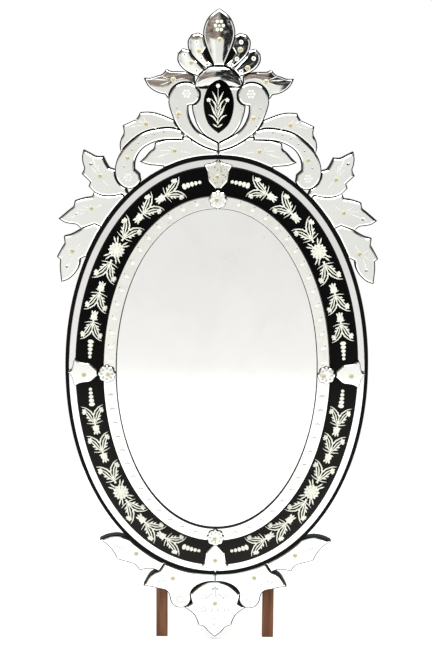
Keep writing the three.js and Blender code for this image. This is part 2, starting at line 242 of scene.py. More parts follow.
def edgeFinish():
    material, finish = newFinish("glassEdgeAndDarkReflection")
    streaks = finish.noise(finish.place(), 160, 2, 0.5)
    finish.surface({
        "Base Color": finish.mix(streaks, edgeLook["dark"], edgeLook["pale"]),
        "Roughness": edgeLook["roughness"] + streaks * 0.15,
        "Specular IOR Level": edgeLook["gloss"],
    })
    return material


blackLook = {
    "glass": (0.0008, 0.0008, 0.0008),
    "dust": (0.005, 0.005, 0.005),
    "lowerTint": (0.0135, 0.0125, 0.0110),
    "lowerTintHeights": (-0.80, -0.10),
    "roughness": 0.09,
    "gloss": 0.05,
}


def blackGlassFinish():
    material, finish = newFinish("blackGlass")
    place = finish.place()
    dust = finish.noise(place, 260, 2, 0.6)
    height = finish.node("ShaderNodeSeparateXYZ", {}, {"Vector": place}).pick("Z")
    colour = finish.mix(dust.between(0.5, 0.8), blackLook["glass"], blackLook["dust"])
    # The glass is drawn lighter towards the bottom
    colour = finish.mix(height.between(*blackLook["lowerTintHeights"]), blackLook["lowerTint"], colour)
    finish.surface({
        "Base Color": colour,
        "Roughness": blackLook["roughness"] + finish.noise(place, 14, 3, 0.5) * 0.05,
        "Specular IOR Level": blackLook["gloss"],
    })
    return material


def frostFinish(name, pale, shade, grain):
    material, finish = newFinish(name)
    place = finish.place()
    frost = finish.noise(place, 420, 3, 0.6)
    colour = finish.mix(frost.between(0.3, 0.7), pale, shade)
    rough = finish.bump(finish.noise(place, 900, 2, 0.6), grain, 0.0004)
    finish.surface({"Base Color": colour, "Roughness": 0.5 + frost * 0.2, "Normal": rough})
    return material


paintLook = {
    "black": (0.0020, 0.0018, 0.0020),
    "worn": (0.009, 0.008, 0.007),
    "roughness": 0.4,
    "gloss": 0.08,
}


def paintFinish():
    material, finish = newFinish("blackPaint")
    place = finish.place()
    brushed = finish.noise(finish.stretched(place, (30, 30, 180)), 1, 3, 0.55)
    wear = finish.noise(place, 24, 5, 0.65)
    finish.surface({
        "Base Color": finish.mix(wear.between(0.55, 0.8), paintLook["black"], paintLook["worn"]),
        "Roughness": paintLook["roughness"] + wear * 0.2,
        "Specular IOR Level": paintLook["gloss"],
        "Normal": finish.bump(brushed, 0.15, 0.0006),
    })
    return material


woodLook = {
    "grain": [(0.25, (0.073, 0.029, 0.014)), (0.5, (0.158, 0.064, 0.029)), (0.75, (0.245, 0.12, 0.061))],
    "fibre": (0.07, 0.028, 0.017),
    "stain": (0.10, 0.045, 0.028),
    "roughness": 0.6,
    "gloss": 0.2,
}


def woodFinish():
    material, finish = newFinish("brownWood")
    place = finish.place()
    grain = finish.noise(finish.stretched(place, (95, 95, 5)), 1, 5, 0.6, 0.8)
    fibres = finish.noise(finish.stretched(place, (520, 520, 16)), 1, 3, 0.6)
    stain = finish.noise(place, 11, 4, 0.6)
    colour = finish.ramp(grain, woodLook["grain"])
    colour = finish.mix(fibres.between(0.5, 0.75) * 0.55, colour, woodLook["fibre"])
    colour = finish.mix(stain.between(0.55, 0.75) * 0.4, colour, woodLook["stain"])
    finish.surface({
        "Base Color": colour,
        "Roughness": woodLook["roughness"] + fibres * 0.2,
        "Specular IOR Level": woodLook["gloss"],
        "Normal": finish.bump(grain * 0.5 + fibres * 0.5, 0.5, 0.0012),
    })
    return material


brassLook = {"bright": (0.58, 0.52, 0.34), "dull": (0.40, 0.36, 0.22), "metallic": 0.5, "roughness": 0.4}


def brassFinish():
    material, finish = newFinish("brass")
    tarnish = finish.noise(finish.place(), 380, 3, 0.6)
    colour = finish.mix(tarnish.between(0.3, 0.7), brassLook["bright"], brassLook["dull"])
    finish.surface({
        "Base Color": colour,
        "Metallic": brassLook["metallic"],
        "Roughness": brassLook["roughness"] + tarnish * 0.2,
    })
    return material


mirrorGlass = mirrorFinish("mirrorGlass", {})
centreGlass = mirrorFinish("centreGlass", {
    "clean": (0.925, 0.920, 0.900),
    "clouded": (0.880, 0.868, 0.845),
    "cloudScale": 5,
    "roughness": 0.09,
    "wave": 0.006,
})
stripGlass = mirrorFinish("stripGlass", {"clean": (0.89, 0.87, 0.855), "clouded": (0.82, 0.80, 0.785)})
crestGlass = mirrorFinish("crestGlass", {"roughness": 0.035, "uneven": 0.05, "wave": 0.05})
bandGlass = mirrorFinish("bandGlass", {
    "clean": (0.935, 0.93, 0.875),
    "clouded": (0.86, 0.85, 0.79),
    "cloudScale": 55,
    "spotFrom": 0.66,
})
foxedGlass = mirrorFinish("foxedGlass", {
    "clean": (0.86, 0.85, 0.77),
    "clouded": (0.80, 0.78, 0.68),
    "cloudScale": 40,
    "spot": (0.16, 0.11, 0.07),
    "spotScale": 210,
    "spotFrom": 0.57,
    "patchFrom": 0.25,
})
# The dark edge of the glass, and also the colour of the painted dark reflections above the upper thumb
# cuts
glassEdgeAndDarkReflection = edgeFinish()
blackGlass = blackGlassFinish()
engraving = frostFinish("frostedEngraving", (0.86, 0.87, 0.78), (0.70, 0.71, 0.60), 0.5)
# The soft frosted cut, and also the colour of the painted highlights (glints) on the upper thumb cuts
softCut = frostFinish("softCut", (0.90, 0.90, 0.86), (0.80, 0.80, 0.74), 0.3)
faintCut = frostFinish("faintCut", (0.76, 0.77, 0.74), (0.70, 0.71, 0.67), 0.2)
# shadeCut is the frosted cut drawn darker, as painted shade, for the apron's lines and the side and
# bottom rosettes
shadeCut = frostFinish("shadeCut", (0.50, 0.51, 0.50), (0.43, 0.44, 0.43), 0.2)
# Painted dark reflection: the grey of the arcs on the thumb cuts of the lower half
pitCut = frostFinish("pitCut", (0.48, 0.48, 0.48), (0.40, 0.40, 0.40), 0.2)
flowerGap = frostFinish("flowerGap", (0.34, 0.34, 0.30), (0.24, 0.24, 0.21), 0.3)
collarGlass = frostFinish("screwCollar", (0.74, 0.72, 0.56), (0.58, 0.55, 0.40), 0.3)
blackPaint = paintFinish()
brownWood = woodFinish()
brass = brassFinish()
print("materials made")


# Meshes

def makePiece(name, points, faces, materials, slot, sharp, kinds=None):
    mesh = bpy.data.meshes.new(name)
    mesh.from_pydata(points, [], faces)
    for material in materials:
        mesh.materials.append(material)
    if kinds:
        mesh.polygons.foreach_set("material_index", kinds)
    made = bmesh.new()
    made.from_mesh(mesh)
    bmesh.ops.recalc_face_normals(made, faces=made.faces)
    made.to_mesh(mesh)
    made.free()
    mesh.shade_smooth()
    mesh.set_sharp_from_angle(angle=math.radians(sharp))
    piece = bpy.data.objects.new(name, mesh)
    scene.collection.objects.link(piece)
    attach(piece, "root")
    return piece


# The oval, with the steps of the carcass from the outside in
rimLow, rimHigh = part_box("carcass")
oval = {
    "power": 2.063,
    "centreX": (rimLow.x + rimHigh.x) / 2,
    "centreZ": (rimLow.z + rimHigh.z) / 2,
    "halfWidth": (rimHigh.x - rimLow.x) / 2,
    "halfHeight": (rimHigh.z - rimLow.z) / 2,
    "rim": 0.0089,
    "strip": 0.0186,
    "black": 0.0718,
    "inner": 0.0339,
    "gap": 0.0003,
}
insets = {"strip": oval["rim"]}
insets["black"] = insets["strip"] + oval["strip"]
insets["inner"] = insets["black"] + oval["black"]
insets["opening"] = insets["inner"] + oval["inner"]


def ovalPoint(inset, turn):
    c, s = math.cos(turn), math.sin(turn)
    x = (oval["halfWidth"] - inset) * math.copysign(abs(c) ** (2 / oval["power"]), c)
    z = (oval["halfHeight"] - inset) * math.copysign(abs(s) ** (2 / oval["power"]), s)
    return x, z


# Turns of the first quarter that are evenly spaced along the oval at one inset
def evenTurns(inset, count, gap=0):
    fine = np.linspace(0, math.pi / 2, 2001)
    path = np.array([ovalPoint(inset, turn) for turn in fine])
    run = np.concatenate([[0], np.cumsum(np.hypot(*np.diff(path, axis=0).T))])
    marks = np.linspace(gap, run[-1] - gap, count)
    return np.interp(marks, run, fine), marks


def depthRange(node):
    low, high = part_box(node)
    return -high.y, -low.y


def toWorld(x, z, depth):
    return (oval["centreX"] + x, -depth, oval["centreZ"] + z)


# Faces between rows that each go once round a section; the rows close on themselves or end in caps
def sweep(rows, closed):
    size, count = len(rows[0]), len(rows)
    faces = []
    for row in range(count if closed else count - 1):
        here, there = row * size, (row + 1) % count * size
        for i in range(size):
            j = (i + 1) % size
            faces.append((here + i, there + i, there + j, here + j))
    if not closed:
        faces += [tuple(range(size)), tuple(range((count - 1) * size, count * size))]
    return [point for row in rows for point in row], faces


# Carcass: the same section as the solid, round instead of faceted, with small rounded edges
carcassLook = {
    "stations": 360,
    "rounding": 0.0007,
    "rimRise": 0.0124,  # heights of the steps above the back
    "stripRise": 0.0088,
    "blackRise": 0.0145,
    "rebateWidth": 0.0063,
}


def addCarcass():
    back, innerSeat = depthRange("carcass")
    rimFront = back + carcassLook["rimRise"]
    stripSeat = back + carcassLook["stripRise"]
    blackSeat = back + carcassLook["blackRise"]
    lip = depthRange("centre_mirror")[1] + oval["gap"]
    opening = insets["opening"]
    rebate = opening - carcassLook["rebateWidth"]
    r = carcassLook["rounding"]
    section = [
        (0, back), (0, rimFront - r), (r, rimFront), (insets["strip"] - r, rimFront),
        (insets["strip"], rimFront - r), (insets["strip"], stripSeat), (insets["black"], stripSeat),
        (insets["black"], blackSeat - r), (insets["black"] + r, blackSeat), (insets["inner"], blackSeat),
        (insets["inner"], innerSeat - r), (insets["inner"] + r, innerSeat), (opening - r, innerSeat),
        (opening, innerSeat - r), (opening, lip), (rebate, lip), (rebate, back),
    ]
    turns = np.linspace(0, 2 * math.pi, carcassLook["stations"], endpoint=False)
    rows = [[toWorld(*ovalPoint(inset, turn), depth) for inset, depth in section] for turn in turns]
    points, faces = sweep(rows, True)
    piece = makePiece("carcassPainted", points, faces, [blackPaint], "black_wood", 40)
    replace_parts(piece, "carcass")


addCarcass()

corners = {"top_right": (1, 1), "top_left": (-1, 1), "bottom_left": (-1, -1), "bottom_right": (1, -1)}


# One quarter of a band, with a ground edge and cuts carved into its front
def addBandQuarter(name, node, band, material, slot, carve):
    look, inset, width = bandLooks[band], insets[band], oval[band]
    sideX, sideZ = corners[node.split("_", 2)[2]]
    back, front = depthRange(node)
    outer, inner = inset + oval["gap"], inset + width - oval["gap"]
    turns, marks = evenTurns((outer + inner) / 2, look["along"], look["endGap"])
    bevel, drop = look["bevel"], look["drop"]
    span = inner - outer
    ground = look["ground"]
    flatPart = list(np.linspace(bevel, span - bevel, look["across"]))
    across = [0, ground, *flatPart, span - look.get("innerGround", ground), span]
    rows = []
    for turn, mark in zip(turns, marks):
        section = []
        for offset in across:
            depth = front - drop * max(0, 1 - min(offset, span - offset) / bevel)
            if carve:
                depth -= carve(mark, offset, span)
            section.append((offset, depth))
        row = []
        for offset, depth in [*section, (span, back), (0, back)]:
            x, z = ovalPoint(outer + offset, turn)
            row.append(toWorld(sideX * x, sideZ * z, depth))
        rows.append(row)
    points, faces = sweep(rows, False)
    # The clear front lies between the two ground strips; all else shows the edge of the glass
    size = len(rows[0])
    kinds = [int(not 0 < k % size < len(across) - 2) for k in range(len(faces) - 2)] + [1, 1]
    piece = makePiece(name, points, faces, [material, glassEdgeAndDarkReflection], slot, look["sharp"], kinds)
    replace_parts(piece, node)


bandLook = {"ground": 0.0006, "bevel": 0.0014, "drop": 0.0004, "endGap": 0.0003, "sharp": 10}
bandLooks = {
    "strip": {**bandLook, "along": 150, "across": 4, "endGap": 0.0009},
    "black": {**bandLook, "along": 170, "across": 8, "bevel": 0.0012, "drop": 0.0005},
    "inner": {**bandLook, "along": 560, "across": 22, "ground": 0.0008, "bevel": 0.0024,
              "sharp": 26, "innerGround": 0.0016},
}
# Thumb cuts across the inner band; the painted glints and painted dark reflections (dots and arcs) that
# mark them are in millimetres
thumbCuts = {
    "first": 0.0605,
    "spacing": 0.0378,
    "lastGap": 0.02,
    "halfLong": 0.0052,
    "halfWide": 0.0085,
    "deep": 0.00016,
    "glintRadii": (5.0, 2.8),
    "reflectionPlace": (5, 8.4),
    "reflectionRadii": (1.7, 1.5),
    "arc": ((-8.5, 2.4), (0, -1.2), (8.5, 2.4)),
    "arcWidths": (2.2, 4.6, 2.2),
}


def thumbCut(mark, offset, span):
    step = round((mark - thumbCuts["first"]) / thumbCuts["spacing"])
    along = (mark - thumbCuts["first"] - step * thumbCuts["spacing"]) / thumbCuts["halfLong"]
    side = (offset - span / 2) / thumbCuts["halfWide"]
    hollow = 1 - along * along - side * side
    return thumbCuts["deep"] * hollow if hollow > 0 else 0


def addBands():
    for corner in corners:
        for glassName, nodeStem, band, material, slot, carve in (
            ("stripGlass_", "outer_strip_", "strip", stripGlass, "mirror_glass", None),
            ("blackGlass_", "black_band_", "black", blackGlass, "black_glass", None),
            ("thumbCutGlass_", "inner_band_", "inner", bandGlass, "mirror_glass", thumbCut),
        ):
            addBandQuarter(glassName + corner, nodeStem + corner, band, material, slot, carve)


addBands()
print("oval bands made")


# Outlines of the cut plates and boards, read from the solids and rounded between their corners

# Edges that only one of the rings has, each in that ring's direction
def openEdges(rings):
    edges = {}
    for ring in rings:
        for a, b in zip(ring, [*ring[1:], ring[0]]):
            if (b, a) in edges:
                del edges[(b, a)]
            elif a != b:
                edges[(a, b)] = True
    return edges


def faceLoops(node, depth):
    mesh = nodes[node].data
    rings, spots = [], {}
    least = 0.00005  # corners closer together than this count as one
    for polygon in mesh.polygons:
        if abs(abs(polygon.normal.y) - 1) > 0.02:
            continue
        if any(abs(-mesh.vertices[v].co.y - depth) > least for v in polygon.vertices):
            continue
        keys = []
        for v in polygon.vertices:
            at = mesh.vertices[v].co
            key = (round(at.x / least), round(at.z / least))
            spots[key] = (at.x, at.z)
            keys.append(key)
        rings.append(keys)
    following = {}
    for a, b in openEdges(rings):
        following.setdefault(a, []).append(b)
    loops = []
    while following:
        start = next(iter(following))
        loop, at = [], start
        while at in following:
            loop.append(spots[at])
            onward = following[at]
            nextAt = onward.pop()
            if not onward:
                del following[at]
            at = nextAt
            if at == start:
                break
        if len(loop) > 2:
            loops.append(np.array(loop))
    return loops


def withoutShort(loop, least):
    kept = [loop[0]]
    for point in loop[1:]:
        if np.hypot(*(point - kept[-1])) > least:
            kept.append(point)
    if np.hypot(*(kept[0] - kept[-1])) <= least:
        kept.pop()
    return np.array(kept)


outlineLook = {"corner": math.radians(38), "least": 0.0009, "step": 0.0026, "leastWidth": 0.004}


def roundedOutline(loop):
    loop = withoutShort(loop, outlineLook["least"])
    into = loop - np.roll(loop, 1, axis=0)
    away = np.roll(loop, -1, axis=0) - loop
    cross = into[:, 0] * away[:, 1] - into[:, 1] * away[:, 0]
    turning = np.abs(np.arctan2(cross, (into * away).sum(1)))
    sharp = turning > outlineLook["corner"]
    count = len(loop)
    points = []
    for i in range(count):
        a, b = loop[i], loop[(i + 1) % count]
        before = 2 * a - b if sharp[i] else loop[i - 1]
        after = 2 * b - a if sharp[(i + 1) % count] else loop[(i + 2) % count]
        length = np.hypot(*(b - a))
        pieces = max(1, round(length / outlineLook["step"]))
        # Tangents that stay short beside short sides
        startPull = (b - before) / max(1e-9, np.hypot(*(b - before)))
        endPull = (after - a) / max(1e-9, np.hypot(*(after - a)))
        for k in range(pieces):
            t = k / pieces
            h1 = 2 * t ** 3 - 3 * t ** 2 + 1
            h2 = t ** 3 - 2 * t ** 2 + t
            h3 = -2 * t ** 3 + 3 * t ** 2
            h4 = t ** 3 - t ** 2
            points.append(h1 * a + h2 * length * startPull + h3 * b + h4 * length * endPull)
    return np.array(points)


def insideOf(outline, spots):
    x, y = spots[:, 0][:, None], spots[:, 1][:, None]
    x1, y1 = outline[:, 0][None], outline[:, 1][None]
    x2, y2 = np.roll(outline[:, 0], -1)[None], np.roll(outline[:, 1], -1)[None]
    crossing = (y1 > y) != (y2 > y)
    with np.errstate(divide="ignore", invalid="ignore"):
        at = x1 + (y - y1) / (y2 - y1) * (x2 - x1)
    return (crossing & (x < at)).sum(1) % 2 == 1


def distanceTo(outline, spots):
    nearest = np.full(len(spots), 1e9)
    a = outline
    d = np.roll(outline, -1, axis=0) - outline
    size = np.maximum((d * d).sum(1), 1e-12)
    for start in range(0, len(spots), 4000):  # in parts, to save memory
        part = spots[start:start + 4000]
        rel = part[:, None] - a[None]
        t = np.clip((rel * d[None]).sum(2) / size[None], 0, 1)
        away = rel - t[..., None] * d[None]
        nearest[start:start + 4000] = np.sqrt((away * away).sum(2).min(1))
    return nearest


def offsetInside(outline, distance):
    area = (outline[:, 0] * np.roll(outline[:, 1], -1) - np.roll(outline[:, 0], -1) * outline[:, 1]).sum()
    ahead = np.roll(outline, -1, axis=0) - np.roll(outline, 1, axis=0)
    ahead /= np.maximum(np.hypot(ahead[:, 0], ahead[:, 1]), 1e-9)[:, None]
    normal = np.stack([-ahead[:, 1], ahead[:, 0]], 1) * math.copysign(1, area)
    moved = outline + normal * distance
    far = distanceTo(outline, moved)
    return moved, insideOf(outline, moved) & (far > distance * 0.93)


plateLook = {
    "bevel": 0.0042,
    "bevelDrop": 0.0015,
    "ground": 0.0015,
    "groundDrop": 0.0024,
    "raise": 0,
    "dome": 0,
    "slopeX": 0,
    "slopeZ": 0,
    "mesh": 0.007,
    "dots": [],
    "dotRadius": 0.0042,
    "dotDeep": 0.0009,
    "dotSides": 14,
    "sharp": 9,
}


# The shape of a skin blown up evenly over the outline: 0 at the fixed points, 1 at its top
def swell(flat, triangles, fixed):
    total = len(flat)
    stiffness = np.zeros((total, total))
    load = np.zeros(total)
    for triangle in triangles:
        p = flat[triangle]
        sides = p[[2, 0, 1]] - p[[1, 2, 0]]
        area = abs(sides[0, 0] * sides[1, 1] - sides[0, 1] * sides[1, 0]) / 2
        if area < 1e-12:
            continue
        stiffness[np.ix_(triangle, triangle)] += sides @ sides.T / (4 * area)
        load[triangle] += area / 3
    free = np.flatnonzero(~fixed)
    height = np.zeros(total)
    height[free] = np.linalg.solve(stiffness[np.ix_(free, free)], load[free])
    return height / height.max()


# Fronts of the plates, so that engraving and screws can lie on them
fronts = []


def frontAt(x, z, otherwise):
    hits = [front.ray_cast(Vector((x, -1, z)), Vector((0, 1, 0)))[0] for front in fronts]
    return max([-hit.y for hit in hits if hit], default=otherwise)


# A plate of glass: ground border, optional swell, tilt and lens cuts, and plain sides and back
def addPlate(name, node, outline, changes, material, slot):
    look = {**plateLook, **changes}
    back, front = depthRange(node)
    spots = [tuple(p) for p in outline]
    count = len(outline)
    links = [(i, (i + 1) % count) for i in range(count)]
    for distance in (look["ground"], look["bevel"]):
        ring, good = offsetInside(outline, distance)
        place = {}
        for i in np.flatnonzero(good):
            place[i] = len(spots)
            spots.append(tuple(ring[i]))
        for i in place:
            if (i + 1) % count in place:
                links.append((place[i], place[(i + 1) % count]))
    dots = [spot(x, z) for x, z in look["dots"]]
    radius = look["dotRadius"]
    dotSides = look["dotSides"]
    for x, z in dots:
        for share in (1, 0.6, 0.25):
            first = len(spots)
            for turn in roundTurns(dotSides):
                spots.append((x + radius * share * math.cos(turn), z + radius * share * math.sin(turn)))
            if share == 1:
                links += [(first + k, first + (k + 1) % dotSides) for k in range(dotSides)]
        spots.append((x, z))
    low, high = outline.min(0), outline.max(0)
    step = look["mesh"]
    rowStep = step * 0.87  # rows of a triangle lattice
    lattice = []
    for row in range(int((high[1] - low[1]) / rowStep) + 1):
        for column in range(int((high[0] - low[0]) / step) + 1):
            lattice.append((low[0] + (column + row % 2 / 2) * step, low[1] + row * rowStep))
    lattice = np.array(lattice)
    # Lattice points keep clear of the borders and of the round cuts, so that no triangle is very thin
    keep = insideOf(outline, lattice) & (distanceTo(outline, lattice) > look["bevel"] + step * 0.45)
    for x, z in dots:
        keep &= np.hypot(lattice[:, 0] - x, lattice[:, 1] - z) > radius + step * 0.3
    spots += [tuple(p) for p in lattice[keep]]
    scaled = [Vector((x * 1000, z * 1000)) for x, z in spots]
    flat, _, triangles, *_ = delaunay_2d_cdt(scaled, links, [], 0, 1e-4, False)
    flat = np.array([(p.x / 1000, p.y / 1000) for p in flat])
    triangles = np.array(triangles)
    middle = flat[triangles].mean(1)
    triangles = triangles[insideOf(outline, middle)]
    used = np.unique(triangles)
    number = {int(v): i for i, v in enumerate(used)}
    flat = flat[used]
    triangles = [[number[int(v)] for v in triangle] for triangle in triangles]
    edge = distanceTo(outline, flat)
    centre = (low + high) / 2
    profile = [-look["groundDrop"], -look["bevelDrop"], 0]
    height = np.interp(edge, [0, look["ground"], look["bevel"]], profile)
    if look["dome"]:
        height += look["dome"] * (swell(flat, np.array(triangles), edge < 1e-5) ** 0.9 - 0.35)
    height += look["slopeX"] * (flat[:, 0] - centre[0]) + look["slopeZ"] * (flat[:, 1] - centre[1])
    for x, z in dots:
        r2 = ((flat[:, 0] - x) ** 2 + (flat[:, 1] - z) ** 2) / radius ** 2
        height -= look["dotDeep"] * np.clip(1 - r2, 0, 1)
    height += look["raise"]
    # Tilted and domed plates stay clear of the board behind them
    height -= min(0, height.min() + (front - back) * 0.75)
    points = [(x, -(front + h), z) for (x, z), h in zip(flat, height)]
    points += [(x, -back, z) for x, z in flat]
    total = len(flat)
    fronts.append(BVHTree.FromPolygons(points[:total], triangles))
    faces = [tuple(t) for t in triangles]
    middles = np.array([flat[t].mean(0) for t in triangles])
    cut = np.zeros(len(triangles), bool)
    for x, z in dots:
        cut |= np.hypot(middles[:, 0] - x, middles[:, 1] - z) < radius * 0.995
    nearEdge = distanceTo(outline, middles) < look["ground"] * 0.7
    kinds = [2 if c else int(e) for c, e in zip(cut, nearEdge)]
    faces += [(b, a, a + total, b + total) for a, b in openEdges(triangles)]
    faces += [(c + total, b + total, a + total) for a, b, c in triangles]
    kinds += [1] * (len(faces) - len(kinds))
    materials = [material, glassEdgeAndDarkReflection, look.get("dotFinish", material)]
    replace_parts(makePiece(name, points, faces, materials, slot, look["sharp"], kinds), node)


# The right half repeats the left one, so both come from the left outlines
def nodeOutline(node):
    isRight = node.endswith("_right")
    source = node.replace("_right", "_left") if isRight else node
    loops = faceLoops(source, depthRange(source)[1])
    loops.sort(key=lambda loop: -np.ptp(loop[:, 0]) * np.ptp(loop[:, 1]))
    outline = roundedOutline(loops[0])
    return outline[::-1] * (-1, 1) if isRight else outline


def camel(node):
    first, *rest = node.split("_")
    return first + "".join(word.capitalize() for word in rest)


# Boards: painted black, rebuilt with round outlines; each level is a step that starts at the back
boardLevels = {
    "crest_board": [0.0437, 0.0480],
    "shoulder_board_left": [0.0437],
    "shoulder_board_right": [0.0437],
    "apron_board": [0.0437],
}


def addBoards():
    for node, levels in boardLevels.items():
        back = depthRange(node)[0]
        points, faces = [], []
        for level in levels:
            loops = faceLoops(node, back if level == levels[0] else level)
            wide = [loop for loop in loops if np.ptp(loop[:, 0]) > outlineLook["leastWidth"]]
            outlines = [roundedOutline(loop) for loop in wide]
            start = len(points)
            rings = []
            for outline in outlines:
                rings.append(range(len(points), len(points) + len(outline)))
                points += [(x, -level, z) for x, z in outline]
            total = len(points) - start
            points += [(x, -back, z) for x, _, z in points[start:]]
            polygons = [[Vector((x, z, 0)) for x, z in outline] for outline in outlines]
            inside = []
            for i, outline in enumerate(outlines):
                within = [bool(insideOf(outline, other[:1])[0]) for other in outlines]
                inside.append([j for j, isHole in enumerate(within) if isHole and j != i])
            for i, holes in enumerate(inside):
                if any(i in others for others in inside):
                    continue
                order = [v for j in [i] + holes for v in rings[j]]
                for triangle in tessellate_polygon([polygons[j] for j in [i] + holes]):
                    faces.append(tuple(order[v] for v in triangle))
                    faces.append(tuple(order[v] + total for v in reversed(triangle)))
            for ring in rings:
                for a, b in zip(ring, [*ring[1:], ring[0]]):
                    faces.append((a, b, b + total, a + total))
        piece = makePiece(camel(node) + "Painted", points, faces, [blackPaint], "black_wood", 35)
        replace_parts(piece, node)


addBoards()
print("boards made")


# Places on the plates are given in millimetres from the middle of the oval
def spot(x, z):
    return oval["centreX"] + x * mm, oval["centreZ"] + z * mm


lobe = {"dome": 0.001, "mesh": 0.004, "dotRadius": 0.0056, "dotDeep": 0.0006, "dotFinish": softCut}
plateLooks = {
    "tip_leaf": {"dome": 0.0045, "mesh": 0.004, "slopeZ": -0.015},
    "upper_lobe_left": {**lobe, "slopeX": 0.085, "slopeZ": 0.04,
                        "dots": [(-55.5, 828.9), (-43.9, 790.1), (-29.7, 775.1)]},
    "lower_lobe_left": {**lobe, "slopeX": 0.085, "slopeZ": 0.05,
                        "dots": [(-85.8, 798.1), (-55.2, 759.1)]},
    "upper_lobe_right": {**lobe, "slopeX": -0.09, "slopeZ": -0.05,
                         "dots": [(54.2, 829.7), (44.2, 788.8), (31.0, 773.9)]},
    "lower_lobe_right": {**lobe, "slopeX": -0.09, "slopeZ": -0.06,
                         "dots": [(85.8, 790.1), (54.9, 758.2)]},
    "crest_dome": {"dome": 0.007, "mesh": 0.0035, "slopeX": -0.06, "slopeZ": -0.02},
    "side_leaf_left": {"dome": 0.001, "mesh": 0.004, "slopeZ": -0.035, "bevel": 0.0032},
    "side_leaf_right": {"dome": 0.002, "mesh": 0.004, "slopeZ": -0.02, "bevel": 0.0032},
    "medallion": {"bevel": 0.0035, "bevelDrop": 0.0011, "dome": 0.003, "mesh": 0.005, "raise": 0.0055},
}
leafDots = {
    "upturned_leaf": ((-319.2, 527.4), (326.0, 532.2)),
    "mid_leaf": ((-355.1, 401.2), (367.2, 393.5)),
    "drooping_leaf": ((-382.0, 268.0), (379.0, 263.3)),
}
for leaf, dots in leafDots.items():
    for word, dot in zip(("left", "right"), dots):
        plateLooks[leaf + "_" + word] = {"dots": [dot]}
scrollDots = {
    "outer_scroll": [(136.3, 609.0), (160.1, 603.3), (181.2, 594.8), (199.9, 581.0), (216.0, 563.5),
                     (236.1, 521.8)],
    "c_scroll": [(104, 668), (101, 645), (95, 624), (82, 604), (62, 584), (41, 568)],
}
for scroll, dots in scrollDots.items():
    for side, word in halves:
        sideDots = [(side * x, z) for x, z in dots]
        plateLooks[scroll + "_" + word] = {"dots": sideDots, "dotRadius": 0.0022, "dotDeep": 0.0004}


def bothSides(*stems):
    return [stem + side for stem in stems for side in ("_right", "_left")]


topNodes = ["tip_leaf", *bothSides("upper_lobe", "lower_lobe"), "crest_dome", *bothSides("side_leaf")]
plateNodes = [
    *topNodes, "crest_shield", "medallion",
    *bothSides("c_scroll", "upper_leaf", "outer_scroll", "lower_leaf", "upturned_leaf", "mid_leaf",
               "drooping_leaf", "apron_wing", "apron_leaf"),
    "apron_shield", "bell_top", "bell_left", "bell_bottom", "bell_right",
    "rosette_top", "rosette_left", "rosette_bottom", "rosette_right",
]
specialGlass = {"bell_top": foxedGlass, **dict.fromkeys(topNodes, crestGlass)}


def addPlates():
    for node in plateNodes:
        isBlack = node == "medallion"
        material = blackGlass if isBlack else specialGlass.get(node, mirrorGlass)
        slot = "black_glass" if isBlack else "mirror_glass"
        addPlate(camel(node) + "Cut", node, nodeOutline(node), plateLooks.get(node, {}), material, slot)


addPlates()
print("plates made")


